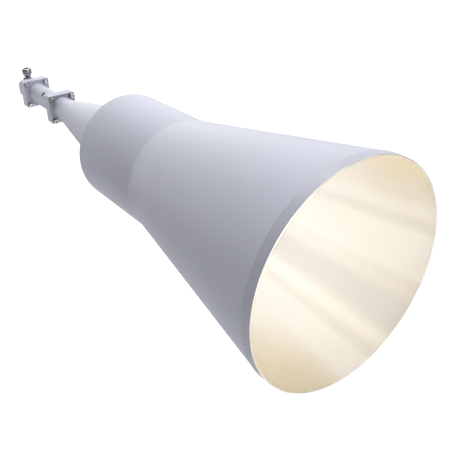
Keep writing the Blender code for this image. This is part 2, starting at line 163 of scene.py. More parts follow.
# ----------------------------------------------------------------- materials
class Graph:
    """A few short words for building a node tree."""

    def __init__(self, name):
        self.material = bpy.data.materials.new(name)
        self.material.use_nodes = True
        self.tree = self.material.node_tree
        self.shader = self.tree.nodes["Principled BSDF"]
        self.place = self.add("ShaderNodeTexCoord").outputs["Object"]

    def add(self, kind, **settings):
        node = self.tree.nodes.new(kind)
        for key, value in settings.items():
            setattr(node, key, value)
        return node

    def link(self, output, socket):
        self.tree.links.new(output, socket)

    def put(self, socket, value):
        if isinstance(value, bpy.types.NodeSocket):
            self.link(value, socket)
        else:
            socket.default_value = value

    def scaled(self, x, y, z, source=None):
        node = self.add("ShaderNodeVectorMath", operation="MULTIPLY")
        self.link(source or self.place, node.inputs[0])
        node.inputs[1].default_value = (x, y, z)
        return node.outputs[0]

    def noise(self, vector, scale, detail=3.0, roughness=0.5, distortion=0.0):
        node = self.add("ShaderNodeTexNoise")
        self.link(vector, node.inputs["Vector"])
        node.inputs["Scale"].default_value = scale
        node.inputs["Detail"].default_value = detail
        node.inputs["Roughness"].default_value = roughness
        node.inputs["Distortion"].default_value = distortion
        return node.outputs[0]

    def math(self, operation, a, b=0.0, c=0.0, clamp=False):
        node = self.add("ShaderNodeMath", operation=operation)
        node.use_clamp = clamp
        for socket, value in zip(node.inputs, (a, b, c)):
            self.put(socket, value)
        return node.outputs[0]

    def remap(self, value, low, high, to_low=0.0, to_high=1.0, smooth=False):
        node = self.add("ShaderNodeMapRange")
        if smooth:
            node.interpolation_type = "SMOOTHSTEP"
        node.clamp = True
        self.put(node.inputs["Value"], value)
        node.inputs["From Min"].default_value = low
        node.inputs["From Max"].default_value = high
        node.inputs["To Min"].default_value = to_low
        node.inputs["To Max"].default_value = to_high
        return node.outputs["Result"]

    def mix(self, factor, a, b, blend="MIX"):
        node = self.add("ShaderNodeMix", data_type="RGBA", blend_type=blend)
        self.put(node.inputs["Factor"], factor)
        colours = [s for s in node.inputs if s.type == "RGBA"]
        for socket, value in zip(colours, (a, b)):
            if not isinstance(value, bpy.types.NodeSocket):
                value = (*value, 1.0) if len(value) == 3 else value
            self.put(socket, value)
        return [s for s in node.outputs if s.type == "RGBA"][0]

    def split(self, vector=None):
        node = self.add("ShaderNodeSeparateXYZ")
        self.link(vector or self.place, node.inputs[0])
        return node.outputs

    def joined(self, x, y, z):
        node = self.add("ShaderNodeCombineXYZ")
        for socket, value in zip(node.inputs, (x, y, z)):
            self.put(socket, value)
        return node.outputs[0]

    def bump(self, height, distance, strength=1.0, normal=None):
        node = self.add("ShaderNodeBump")
        node.inputs["Strength"].default_value = strength
        node.inputs["Distance"].default_value = distance
        self.link(height, node.inputs["Height"])
        if normal is not None:
            self.link(normal, node.inputs["Normal"])
        return node.outputs[0]

    def set(self, name, value):
        self.put(self.shader.inputs[name], value)


def paint(name, base):
    """Sprayed satin enamel: fine orange peel, faint overspray mottling, and a little dust in it."""
    g = Graph(name)
    broad = g.noise(g.place, 9.0, 3.0, 0.55)
    fine = g.noise(g.place, 260.0, 2.0, 0.5)
    speck = g.noise(g.place, 900.0, 2.0, 0.6)
    light = tuple(min(1.0, c * 1.03) for c in base)
    dark = tuple(c * 0.965 for c in base)
    cool = (base[0] * 0.985, base[1] * 0.995, base[2] * 1.02)
    colour = g.mix(g.remap(broad, 0.38, 0.64, smooth=True), dark, light)
    colour = g.mix(g.math("MULTIPLY", fine, 0.5), colour, cool)
    dust = g.remap(speck, 0.70, 0.78)
    colour = g.mix(g.math("MULTIPLY", dust, 0.10), colour, tuple(c * 0.72 for c in base))
    g.set("Base Color", colour)
    rough = g.math("ADD", g.remap(broad, 0.3, 0.7, 0.40, 0.47), g.math("MULTIPLY", fine, 0.06))
    g.set("Roughness", rough)
    peel = g.noise(g.place, 520.0, 2.0, 0.45)
    ripple = g.noise(g.place, 38.0, 2.0, 0.5)
    height = g.math("ADD", g.math("MULTIPLY", peel, 0.25), g.math("MULTIPLY", ripple, 1.0))
    g.set("Normal", g.bump(height, 0.00022, 0.35))
    g.set("Specular IOR Level", 0.42)
    g.set("IOR", 1.48)
    g.set("Coat Weight", 0.08)
    g.set("Coat Roughness", 0.22)
    return g.material


def turned_metal(name, base, tint, rough, axis="Y", rings=2600.0, groove=0.000012):
    """Metal turned on a lathe: fine rings square to the axis, with slow changes of tone."""
    g = Graph(name)
    x, y, z = g.split()
    along = {"X": x, "Y": y, "Z": z}[axis]
    lines = g.noise(g.joined(0.0, 0.0, along), rings, 2.0, 0.6)
    slow = g.noise(g.place, 55.0, 3.0, 0.55)
    tone = g.mix(g.remap(slow, 0.35, 0.68, smooth=True), base, tint)
    tone = g.mix(g.remap(lines, 0.3, 0.7, 0.0, 0.16), tone, tuple(c * 0.7 for c in base))
    g.set("Base Color", tone)
    g.set("Metallic", 1.0)
    g.set("Roughness", g.math("ADD", g.remap(lines, 0.3, 0.7, rough - 0.04, rough + 0.06), g.math("MULTIPLY", slow, 0.06)))
    g.set("Normal", g.bump(lines, groove, 0.5))
    return g.material


def cast_metal(name, base, tint, rough, grain=700.0, depth=0.00003):
    """Rolled or plated metal with a fine tumbled grain."""
    g = Graph(name)
    grain_out = g.noise(g.place, grain, 4.0, 0.6)
    slow = g.noise(g.place, 90.0, 3.0, 0.5)
    g.set("Base Color", g.mix(g.remap(slow, 0.35, 0.68, smooth=True), base, tint))
    g.set("Metallic", 1.0)
    g.set("Roughness", g.remap(grain_out, 0.25, 0.75, rough - 0.05, rough + 0.09))
    g.set("Normal", g.bump(grain_out, depth, 0.4))
    return g.material


def soft_material(name, base, other, rough, grain=500.0):
    g = Graph(name)
    speck = g.noise(g.place, grain, 4.0, 0.65)
    slow = g.noise(g.place, 60.0, 2.0, 0.5)
    colour = g.mix(g.remap(speck, 0.45, 0.7), base, other)
    colour = g.mix(g.math("MULTIPLY", slow, 0.3), colour, tuple(c * 0.8 for c in base))
    g.set("Base Color", colour)
    g.set("Roughness", g.remap(slow, 0.3, 0.7, rough - 0.06, rough + 0.06))
    g.set("Normal", g.bump(speck, 0.00005, 0.4))
    return g.material


def inside_metal():
    """The bare inside of the horn: brushed round and round, with a thin golden conversion coat that is strongest by the
    rim, and lighter and duller lanes along the cone that are partly painted reflections.
    """
    g = Graph("brushed_inside")
    x, y, z = g.split()
    radius = g.math("SQRT", g.math("ADD", g.math("MULTIPLY", x, x), g.math("MULTIPLY", z, z)))
    ux = g.math("DIVIDE", x, g.math("ADD", radius, 1e-4))
    uz = g.math("DIVIDE", z, g.math("ADD", radius, 1e-4))
    # tone changes that run along the cone, as the polishing wheel leaves them
    streak = g.noise(g.joined(ux, g.math("MULTIPLY", y, 0.35), uz), 2.6, 3.0, 0.5)
    fine_streak = g.noise(g.joined(ux, g.math("MULTIPLY", y, 1.2), uz), 11.0, 3.0, 0.5)
    cloud = g.noise(g.place, 13.0, 3.0, 0.5, 0.6)
    rings = g.noise(g.joined(g.math("MULTIPLY", ux, 0.5), g.math("MULTIPLY", y, 420.0), g.math("MULTIPLY", uz, 0.5)), 2.2, 3.0, 0.65)
    cream = (0.955, 0.940, 0.905)
    silver = (0.945, 0.935, 0.925)
    gold = (0.885, 0.785, 0.60)
    pink = (0.92, 0.88, 0.85)
    colour = g.mix(g.remap(streak, 0.36, 0.62, smooth=True), silver, cream)

    def lane(angle, width):
        """1 along the cone's line at this angle, and 0 this many degrees from it."""
        a = math.radians(angle)
        towards = g.math("ADD", g.math("MULTIPLY", ux, math.cos(a)), g.math("MULTIPLY", uz, math.sin(a)))
        return g.remap(towards, math.cos(math.radians(width)), 1.0, smooth=True)

    # the coat: thickest at the rim and to both sides, thinner further in
    depth = g.remap(y, -S_ORIGIN, -S_ORIGIN + 0.11, 1.0, 0.0, smooth=True)
    side = g.math("ADD", g.math("MULTIPLY", ux, 0.766), g.math("MULTIPLY", uz, -0.643))
    flank = g.remap(side, -0.2, 0.9, 1.0, 0.0, smooth=True)
    coat = g.math("MULTIPLY", depth, g.math("ADD", 0.35, g.math("MULTIPLY", flank, 0.75)))
    coat = g.math("ADD", coat, g.math("MULTIPLY", flank, 0.22))
    coat = g.math("MULTIPLY", coat, g.remap(cloud, 0.3, 0.7, 0.55, 1.25), clamp=True)
    colour = g.mix(coat, colour, gold)
    # lanes along the cone at fixed angles: partly polishing marks, partly painted reflections; the lighter ones are
    # painted highlight streaks, the duller ones painted dull bands
    for angle, width, strength in ((-80.0, 17.0, 0.90), (-13.0, 20.0, 0.90), (-60.0, 7.0, 0.40), (12.0, 7.0, 0.45)):
        colour = g.mix(g.math("MULTIPLY", lane(angle, width), strength), colour, (0.975, 0.962, 0.950))
    for angle, width, strength in ((-46.0, 15.0, 0.95), (-30.0, 6.0, 0.30), (-69.0, 6.0, 0.45), (3.0, 6.0, 0.40)):
        colour = g.mix(g.math("MULTIPLY", lane(angle, width), strength), colour, (0.745, 0.735, 0.715))
    colour = g.mix(g.math("MULTIPLY", lane(-128.0, 44.0), g.math("MULTIPLY", depth, 0.75)), colour, (0.83, 0.74, 0.56))
    colour = g.mix(g.remap(fine_streak, 0.55, 0.75, 0.0, 0.25), colour, pink)
    colour = g.mix(g.remap(rings, 0.55, 0.8, 0.0, 0.10), colour, (0.70, 0.66, 0.58))
    g.set("Base Color", colour)
    g.set("Metallic", 0.62)
    g.set("Roughness", g.math("ADD", g.remap(streak, 0.3, 0.7, 0.30, 0.40), g.remap(rings, 0.3, 0.7, -0.02, 0.05)))
    g.set("Anisotropic", 0.75)
    g.set("Anisotropic Rotation", 0.25)
    tangent = g.add("ShaderNodeTangent", direction_type="RADIAL", axis="Y")
    g.link(tangent.outputs[0], g.shader.inputs["Tangent"])
    g.set("Normal", g.bump(rings, 0.00002, 0.35))
    return g.material


GREY = (0.486, 0.496, 0.584)
PAINT = paint("grey_enamel", GREY)
# The mouth ring's enamel is a darker copy of the same grey paint: painted shade for the darker band that the ring
# shows.
PAINT_RING_SHADED = paint("grey_enamel_ring_shaded", (0.436, 0.446, 0.512))
INSIDE = inside_metal()
RIM = turned_metal("bare_rim", (0.50, 0.47, 0.43), (0.60, 0.56, 0.50), 0.40, rings=3000.0)
BORE = turned_metal("bare_bore", (0.78, 0.75, 0.70), (0.84, 0.80, 0.70), 0.32)
STEEL = turned_metal("stainless", (0.50, 0.49, 0.49), (0.60, 0.59, 0.59), 0.20)
STEEL_PLAIN = cast_metal("stainless_pressed", (0.20, 0.195, 0.205), (0.28, 0.27, 0.28), 0.25)
NICKEL = turned_metal("nickel", (0.46, 0.41, 0.44), (0.54, 0.49, 0.51), 0.21, axis="Z", rings=5200.0, groove=0.000006)
GOLD = turned_metal("gold_plate", (0.85, 0.62, 0.25), (0.92, 0.72, 0.34), 0.22, axis="Z", rings=5200.0, groove=0.000005)
# Near-black metal for the port's drilled wall: painted shade, standing in for the shadow inside the recess.
PORT_SHADE = cast_metal("port_wall_painted_shade", (0.10, 0.097, 0.10), (0.15, 0.147, 0.15), 0.5)
PTFE = soft_material("white_ptfe", (0.86, 0.86, 0.84), (0.78, 0.78, 0.76), 0.42, 300.0)
ELASTOMER = soft_material("filled_elastomer", (0.060, 0.060, 0.064), (0.12, 0.12, 0.125), 0.66, 1400.0)


# --------------------------------------------------------------------- pieces
def finish(bm, name, materials, node=None, angle=36.0, weighted=False, merge=True):
    """Turns a bmesh into a piece that rides on the body and stands for the CAD node."""
    if merge:
        bmesh.ops.remove_doubles(bm, verts=bm.verts, dist=1e-7)
    bmesh.ops.recalc_face_normals(bm, faces=bm.faces)
    mesh = bpy.data.meshes.new(name)
    bm.to_mesh(mesh)
    bm.free()
    mesh.shade_smooth()
    mesh.set_sharp_from_angle(angle=math.radians(angle))
    obj = bpy.data.objects.new(name, mesh)
    for mat in materials:
        mesh.materials.append(mat)
    bpy.context.scene.collection.objects.link(obj)
    if weighted:
        obj.modifiers.new("normals", "WEIGHTED_NORMAL").keep_sharp = True
    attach(obj, "root")
    if node:
        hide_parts(*([node] if isinstance(node, str) else node))
    return obj


def softened(profile, steps=4, support=0.35):
    """A closed profile of (along, radius, rounding, material) with its corners rounded.

    Each rounded corner gets an arc, and a point a little before and after it, so that the flats stay flat."""
    points = []
    count = len(profile)
    for i, (a, r, rounding, mat) in enumerate(profile):
        here = Vector((a, r))
        before = Vector(profile[i - 1][:2])
        after = Vector(profile[(i + 1) % count][:2])
        if rounding <= 0:
            points.append((a, r, mat))
            continue
        to_before, to_after = (before - here), (after - here)
        lengths = to_before.length, to_after.length
        to_before.normalize()
        to_after.normalize()
        half = to_before.angle(to_after) / 2
        cut = min(rounding / math.tan(half), 0.45 * min(lengths))
        radius = cut * math.tan(half)
        centre = here + (to_before + to_after).normalized() * (radius / math.sin(half))
        first, last = here + to_before * cut, here + to_after * cut
        before_mat = profile[i - 1][3]
        extra = min(support * rounding, 0.2 * min(lengths))
        points.append((*(first + to_before * extra), before_mat))
        start, end = first - centre, last - centre
        turn = start.angle_signed(end, 0.0)
        for k in range(steps + 1):
            spoke = start.copy()
            spoke.rotate(Matrix.Rotation(-turn * k / steps, 2))
            points.append((*(centre + spoke), before_mat if k < steps / 2 else mat))
        points.append((*(last + to_after * extra), mat))
    return points


def lathe(name, profile, mats, node=None, segments=256, axis="Y", centre=(0, 0, 0), shape=None, angle=36.0, tilt=None):
    """A closed solid of revolution. The profile's points are (along, radius, material of the stretch that follows).

    shape(along, radius, theta) may move a point to another (along, radius)."""
    bm = bmesh.new()
    rings = []
    for along, r, mat in profile:
        if r < 1e-7:
            v = (0, along, 0) if axis == "Y" else (0, 0, along)
            rings.append([bm.verts.new(v)])
            continue
        ring = []
        for k in range(segments):
            theta = TAU * k / segments
            here, radius = shape(along, r, theta) if shape else (along, r)
            c, s = radius * math.cos(theta), radius * math.sin(theta)
            ring.append(bm.verts.new((c, here, s) if axis == "Y" else (c, s, here)))
        rings.append(ring)
    for i, ring in enumerate(rings):
        after = rings[(i + 1) % len(rings)]
        mat = profile[i][2]
        if len(ring) == 1 and len(after) == 1:
            continue
        for k in range(segments):
            m = (k + 1) % segments
            if len(ring) == 1:
                corners = (ring[0], after[k], after[m])
            elif len(after) == 1:
                corners = (ring[k], ring[m], after[0])
            else:
                corners = (ring[k], ring[m], after[m], after[k])
            bm.faces.new(corners).material_index = mat
    if tilt is not None:
        bm.transform(tilt)
    bm.transform(Matrix.Translation(centre))
    return finish(bm, name, mats, node, angle)


def stations(profile):
    return [(y_of(s), r, *rest) for s, r, *rest in profile]


def rounded_rectangle(width, height, radius, steps=8):
    points = []
    for quarter, (sx, sz) in enumerate(((1, 1), (-1, 1), (-1, -1), (1, -1))):
        cx, cz = sx * (width / 2 - radius), sz * (height / 2 - radius)
        for i in range(steps + 1):
            a = math.pi / 2 * (quarter + i / steps)
            points.append((cx + radius * math.cos(a), cz + radius * math.sin(a)))
    return points


def circle(cx, cz, radius, steps, start=0.0):
    return [
        (cx + radius * math.cos(start + TAU * i / steps), cz + radius * math.sin(start + TAU * i / steps))
        for i in range(steps)
    ]


def polygon(cx, cz, across_flats, turn=0.0, steps=1):
    """A hexagon with each side cut into steps."""
    r = across_flats / math.sqrt(3)
    corners = [
        Vector((cx + r * math.cos(turn + math.pi / 3 * i), cz + r * math.sin(turn + math.pi / 3 * i)))
        for i in range(6)
    ]
    points = []
    for i in range(6):
        for k in range(steps):
            points.append(tuple(corners[i].lerp(corners[(i + 1) % 6], k / steps)))
    return points


def fill(bm, loops, mat):
    """Closes a flat area between loops of vertices."""
    edges = []
    for loop in loops:
        for i, v in enumerate(loop):
            pair = (v, loop[(i + 1) % len(loop)])
            edges.append(bm.edges.get(pair) or bm.edges.new(pair))
    made = bmesh.ops.triangle_fill(bm, use_beauty=True, use_dissolve=False, edges=edges)
    for f in made["geom"]:
        if isinstance(f, bmesh.types.BMFace):
            f.material_index = mat


def skin(bm, loops, mats):
    """Walls between neighbouring loops with the same number of vertices."""
    for i in range(len(loops) - 1):
        a, b = loops[i], loops[i + 1]
        mat = mats if isinstance(mats, int) else mats[i]
        for k in range(len(a)):
            m = (k + 1) % len(a)
            bm.faces.new((a[k], a[m], b[m], b[k])).material_index = mat


def slab(name, outline, openings, start, stop, mats, node=None, edge=0.4 * MM, axis="Y", centre=(0, 0), fronts=(), opening_mat=0, face_mats=(0, 0), steps=3, weighted=True):
    """A plate with rounded edges. outline(inset) gives its outline, and each opening(spare) gives a hole's edge.

    fronts is not used."""
    bm = bmesh.new()

    def ring(points, level):
        if axis == "Y":
            return [bm.verts.new((a + centre[0], level, b + centre[1])) for a, b in points]
        return [bm.verts.new((a + centre[0], b + centre[1], level)) for a, b in points]

    levels = []
    for k in range(steps + 1):
        a = math.pi / 2 * k / steps
        levels.append((edge * (1 - math.sin(a)), edge * (1 - math.cos(a))))
    outer = [ring(outline(inset), start + depth) for inset, depth in levels]
    outer += [ring(outline(inset), stop - depth) for inset, depth in reversed(levels)]
    skin(bm, outer, 0)
    first, last = [outer[0]], [outer[-1]]
    for i, opening in enumerate(openings):
        lip = min(edge, 0.25 * MM)
        hole = [
            ring(opening(lip), start),
            ring(opening(lip * 0.3), start + lip * 0.3),
            ring(opening(0), start + lip),
            ring(opening(0), stop - lip),
            ring(opening(lip * 0.3), stop - lip * 0.3),
            ring(opening(lip), stop),
        ]
        skin(bm, hole, opening_mat)
        first.append(hole[0])
        last.append(hole[-1])
    fill(bm, first, face_mats[0])
    fill(bm, last, face_mats[1])
    return finish(bm, name, mats, node, 50.0, weighted)


def screw_openings(radius=HOLE_R, steps=24):
    return [
        (lambda spare, sx=sx, sz=sz: circle(sx * HOLE_DX, sz * HOLE_DZ, radius + spare, steps))
        for sx in (-1, 1)
        for sz in (-1, 1)
    ]


def square_outline(inset):
    return rounded_rectangle(FLANGE - 2 * inset, FLANGE - 2 * inset, max(FLANGE_CORNER - inset, 0.2 * MM))


def guide_outline(spare):
    return rounded_rectangle(GUIDE_W + 2 * spare, GUIDE_H + 2 * spare, 0.8 * MM + spare, 5)


def ripple(amount, count, seed):
    """A small unevenness round a bead, as a welder leaves it under the paint."""

    def at(theta):
        n = noise.noise(Vector((math.cos(theta) * 3 + seed, math.sin(theta) * 3, seed * 0.37)))
        return amount * (0.55 * n + 0.45 * math.sin(count * theta + 2.5 * n))

    return at


# ------------------------------------------------------------------ horn body
cone_slope = math.atan(TAPER)
joint = 0.04 * MM  # the sheet runs on past the frame's gaps, up to a hairline


def lip_bore(s):
    """Inside the ring the cone's bore closes in a little, towards the rim's edge."""
    short = bore_r(0) - (MOUTH_R - RIM_T)
    return bore_r(s) - short * max(0.0, 1 - s / MOUTH_LIP) ** 2


lathe(
    "horn_mouth_ring",
    stations(
        softened(
            [
                (0.0, MOUTH_R, 0.35 * MM, 0),
                (MOUTH_LIP, MOUTH_R, 0.28 * MM, 0),
                (MOUTH_LIP + 0.25 * MM, cone_r(MOUTH_LIP) - 0.9 * MM, 0, 0),
                *[(s, lip_bore(s), 0, 2) for s in (MOUTH_LIP + 0.25 * MM, 8 * MM, 6 * MM, 4 * MM, 2.5 * MM, 1.2 * MM)],
                (0.0, MOUTH_R - RIM_T, 0.22 * MM, 1),
            ]
        )
    ),
    # the ring's outside takes the darker copy of the enamel, as painted shade
    [PAINT_RING_SHADED, RIM, INSIDE],
    "mouth_ring",
    320,
)

front_bead = ripple(0.10 * MM, 60, 3.0)


def front_weld(along, r, theta):
    """The painted bead where the cone meets the collar."""
    d = (along - y_of(COLLAR_S0 - 1.5 * MM)) / (3.4 * MM)
    if abs(d) < 1.6 and r > cone_r(along + S_ORIGIN) - 0.6 * MM:
        bulge = math.exp(-(d * d) * 2.2)
        r += bulge * (0.30 * MM + front_bead(theta))
    return along, r


def cone_stretch(s0, s1, pitch):
    count = max(2, int((s1 - s0) / pitch))
    return [s0 + (s1 - s0) * i / count for i in range(count + 1)]


front_s0, front_s1 = MOUTH_LIP + 0.3 * MM, COLLAR_S0 - joint
outer_stations = cone_stretch(front_s0, COLLAR_S0 - 8 * MM, 12 * MM)
outer_stations += cone_stretch(COLLAR_S0 - 7 * MM, front_s1, 0.6 * MM)
inner_stations = list(reversed(cone_stretch(front_s0, front_s1, 12 * MM)))
lathe(
    "horn_front_cone",
    stations([(s, cone_r(s), 0) for s in outer_stations] + [(s, bore_r(s), 1) for s in inner_stations]),
    [PAINT, INSIDE],
    "front_cone",
    320,
    shape=front_weld,
)

nose = COLLAR_S0 + COLLAR_NOSE
sleeve_in = COLLAR_R - WALL
collar_flat = [(s, COLLAR_R, 0, 0) for s in cone_stretch(COLLAR_S0 + joint, COLLAR_S0 + 8 * MM, 0.6 * MM)]
lathe(
    "horn_collar",
    stations(
        softened(
            collar_flat
            + [
                (COLLAR_S1, COLLAR_R, 1.6 * MM, 0),
                (COLLAR_S1, sleeve_in, 0.2 * MM, 0),
                (nose, sleeve_in, 0, 0),
                (nose, bore_r(nose), 0, 1),
                (COLLAR_S0 + joint, bore_r(COLLAR_S0), 0, 1),
            ],
            steps=6,
        )
    ),
    [PAINT, INSIDE],
    "collar_sleeve",
    320,
    shape=front_weld,
)

# The rear plate, with the painted bead that joins it to the sleeve and the fillet round the cone.
plate_out = sleeve_in - 0.05 * MM
plate_in = cone_r(REAR_PLATE_S1) + 0.05 * MM
rear_bead = ripple(0.16 * MM, 84, 7.0)


def rear_weld(along, r, theta):
    if along > y_of(REAR_PLATE_S1 - 0.2 * MM):
        outer = math.exp(-(((r - (plate_out - 0.5 * MM)) / (0.7 * MM)) ** 2))
        inner = math.exp(-(((r - (plate_in + 1.0 * MM)) / (1.2 * MM)) ** 2))
        along += rear_bead(theta) * (outer * 0.6 + inner * 0.7)
    return along, r


fillet = [
    (
        REAR_PLATE_S1 + 2.6 * MM * (1 - math.sin(a)),
        plate_in + 2.6 * MM * (1 - math.cos(a)),
        0,
    )
    for a in (math.radians(d) for d in range(90, -1, -10))
]
fillet.reverse()
edge_bead = [
    (REAR_PLATE_S1 + 0.55 * MM * math.sin(a), plate_out - 0.9 * MM * (1 - math.cos(a)), 0)
    for a in (math.radians(d) for d in range(0, 181, 20))
]
lathe(
    "horn_collar_rear_plate",
    stations(
        [(REAR_PLATE_S0, plate_in, 0), (REAR_PLATE_S0, plate_out, 0)]
        + edge_bead
        + [(REAR_PLATE_S1, r, 0) for r in (plate_out - 4 * MM, (plate_in + plate_out) / 2, plate_in + 3.4 * MM)]
        + list(reversed(fillet))
    ),
    [PAINT],
    "collar_rear_plate",
    320,
    shape=rear_weld,
    angle=60.0,
)

rear_s0, rear_s1 = nose + joint, HUB_S0 - joint
lathe(
    "horn_rear_cone",
    stations(
        [(s, cone_r(s), 0) for s in cone_stretch(rear_s0, rear_s1, 12 * MM)]
        + [(s, bore_r(s), 1) for s in reversed(cone_stretch(rear_s0, rear_s1, 12 * MM))]
    ),
    [PAINT, INSIDE],
    "rear_cone",
    256,
)


# -------------------------------------------------------------- square flanges
def flange_with_neck(name, s0, s1, neck, bore, node, mats, neck_forward=True, count=96):
    """A square flange whose face runs through a fillet into a round neck.

    neck is a list of (station, radius) from the flange's face outwards; bore a list of (station, radius) back to the far face."""
    bm = bmesh.new()

    def ring(points, s):
        return [bm.verts.new((a, y_of(s), b)) for a, b in points]

    edge, steps = 0.45 * MM, 3
    levels = []
    for k in range(steps + 1):
        a = math.pi / 2 * k / steps
        levels.append((edge * (1 - math.sin(a)), edge * (1 - math.cos(a))))
    outer = [ring(square_outline(inset), s0 + depth) for inset, depth in levels]
    outer += [ring(square_outline(inset), s1 - depth) for inset, depth in reversed(levels)]
    skin(bm, outer, 0)
    first, last = [outer[0]], [outer[-1]]
    lip = 0.25 * MM
    for opening in screw_openings():
        hole = [
            ring(opening(lip), s0),
            ring(opening(lip * 0.3), s0 + lip * 0.3),
            ring(opening(0), s0 + lip),
            ring(opening(0), s1 - lip),
            ring(opening(lip * 0.3), s1 - lip * 0.3),
            ring(opening(lip), s1),
        ]
        skin(bm, hole, 1)
        first.append(hole[0])
        last.append(hole[-1])
    neck_rings = [ring(circle(0, 0, r, count), s) for s, r in neck]
    bore_rings = [ring(circle(0, 0, r, count), s) for s, r in bore]
    whole = neck_rings + bore_rings
    skin(bm, whole, [0] * (len(neck_rings) - 1) + [1] * len(bore_rings))
    (first if neck_forward else last).append(neck_rings[0])
    (last if neck_forward else first).append(bore_rings[-1])
    fill(bm, first, 0)
    fill(bm, last, 0)
    return finish(bm, name, mats, node, 50.0, True)


def quarter_fillet(s_face, r_neck, size, forward=True, steps=8):
    """From the flange's face in to the neck, as (station, radius)."""
    sign = -1 if forward else 1
    points = []
    for k in range(steps + 1):
        a = math.pi / 2 * k / steps
        points.append((s_face + sign * size * (1 - math.cos(a)), r_neck + size * (1 - math.sin(a))))
    return points


throat_back = THROAT_GASKET_S + 0.16 * MM
root = quarter_fillet(THROAT_FLANGE_S, HUB_R, 0.9 * MM)
neck = root + [(THROAT_FLANGE_S - 1.6 * MM, HUB_R), (HUB_S0 + 2.0 * MM, HUB_R), (HUB_S0 + 0.4 * MM, HUB_R + 0.02 * MM), (HUB_S0, HUB_R - 0.12 * MM)]
cone_end = (bore_r(0) - THROAT_R) / TAPER
flange_with_neck(
    "throat_flange_body",
    THROAT_FLANGE_S,
    throat_back,
    neck,
    [(HUB_S0, bore_r(HUB_S0)), (cone_end, THROAT_R), (throat_back - 0.3 * MM, THROAT_R), (throat_back, THROAT_R + 0.2 * MM)],
    "throat_flange",
    [PAINT, BORE],
)

front_face = THROAT_GASKET_S + GASKET_T - 0.16 * MM
transition_bore = TRANSITION_R - 0.4 * MM


def ring_opening(radius, steps=96):
    return lambda spare: circle(0, 0, radius + spare, steps)


def collar_of(name, s0, s1, node, forward):
    """A transition flange: a square plate with a brazed fillet on to the tube."""
    root_size = 1.0 * MM
    face = s0 if forward else s1
    sign = -1 if forward else 1
    rise = quarter_fillet(face, TRANSITION_R + 0.03 * MM, root_size, forward)
    rise.append((face + sign * 1.3 * MM, TRANSITION_R - 0.05 * MM))
    end = s1 if forward else s0
    inside = [(face + sign * 1.3 * MM, transition_bore), (end, transition_bore)]
    return flange_with_neck(name, s0, s1, rise, inside, node, [PAINT, BORE], forward)


collar_of("transition_front_flange_body", front_face, TRANSITION_S0 + FLANGE_T, "transition_front_flange", False)
rear_face = TRANSITION_S1 + GAP + 0.14 * MM
collar_of("transition_rear_flange_body", REAR_FLANGE_S, rear_face, "transition_rear_flange", True)

adapter_face = GUIDE_GASKET_S + GASKET_T - 0.16 * MM
slab(
    "adapter_flange_body",
    square_outline,
    [*screw_openings(), guide_outline],
    y_of(adapter_face),
    y_of(back("adapter_flange")),
    [PAINT, BORE],
    "adapter_flange",
    opening_mat=1,
)

# The gaskets sit a little inside the flanges' edges.
for label, node, opening in (
    ("throat_gasket_sheet", "throat_gasket", lambda spare: circle(0, 0, THROAT_R + GAP + spare, 72)),
    ("guide_gasket_sheet", "guide_gasket", lambda spare: guide_outline(GAP + spare)),
):
    low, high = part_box(node)
    slab(
        label,
        lambda inset: square_outline(inset + 0.9 * MM),
        [*screw_openings(), opening],
        low.y,
        high.y,
        [ELASTOMER],
        node,
        edge=0.1 * MM,
        steps=2,
    )


# ------------------------------------------------------------------ transition
def transition_piece():
    """The round tube. Its bore changes from a circle to the rectangle of the guide, and its port is milled into the top."""
    count, levels = 160, 24
    half_w, half_h = GUIDE_W / 2, GUIDE_H / 2
    bm = bmesh.new()
    corner = math.atan2(half_h, half_w)
    angles = []
    for quarter in range(4):
        base = quarter * math.pi / 2
        here = corner if quarter % 2 == 0 else math.pi / 2 - corner
        angles += [base + here * i / 20 for i in range(20)]
        angles += [base + here + (math.pi / 2 - here) * i / 20 for i in range(20)]
    inner = []
    for level in range(levels + 1):
        t = level / levels
        ease = t * t * (3 - 2 * t)
        loop = []
        for a in angles:
            c, s = math.cos(a), math.sin(a)
            box_r = min(half_w / abs(c) if abs(c) > 1e-9 else 1e9, half_h / abs(s) if abs(s) > 1e-9 else 1e9)
            r = THROAT_R + (box_r - THROAT_R) * ease
            loop.append(bm.verts.new((r * c, y_of(TRANSITION_S0 + (TRANSITION_S1 - TRANSITION_S0) * t), r * s)))
        inner.append(loop)
    outer = [
        [bm.verts.new((TRANSITION_R * math.cos(a), y_of(s), TRANSITION_R * math.sin(a))) for a in angles]
        for s in reversed(cone_stretch(TRANSITION_S0, TRANSITION_S1, 6 * MM))
    ]
    loops = [*inner, *outer]
    for i, loop in enumerate(loops):
        after = loops[(i + 1) % len(loops)]
        for k in range(count):
            m = (k + 1) % count
            face = bm.faces.new((loop[k], loop[m], after[m], after[k]))
            face.material_index = 1 if i < levels else 0
    return finish(bm, "transition_tube_body", [PAINT, BORE, PORT_SHADE], "transition_tube", 30.0)


port_frame = Matrix.Translation((0, y_of(PORT_S), 0)) @ Matrix.Rotation(math.pi / 2 - PORT_ANGLE, 4, "Y")


def applied(obj):
    """Applies the modifiers of a piece to its mesh."""
    graph = bpy.context.evaluated_depsgraph_get()
    graph.update()
    mesh = bpy.data.meshes.new_from_object(obj.evaluated_get(graph))
    obj.modifiers.clear()
    obj.data = mesh
    return obj


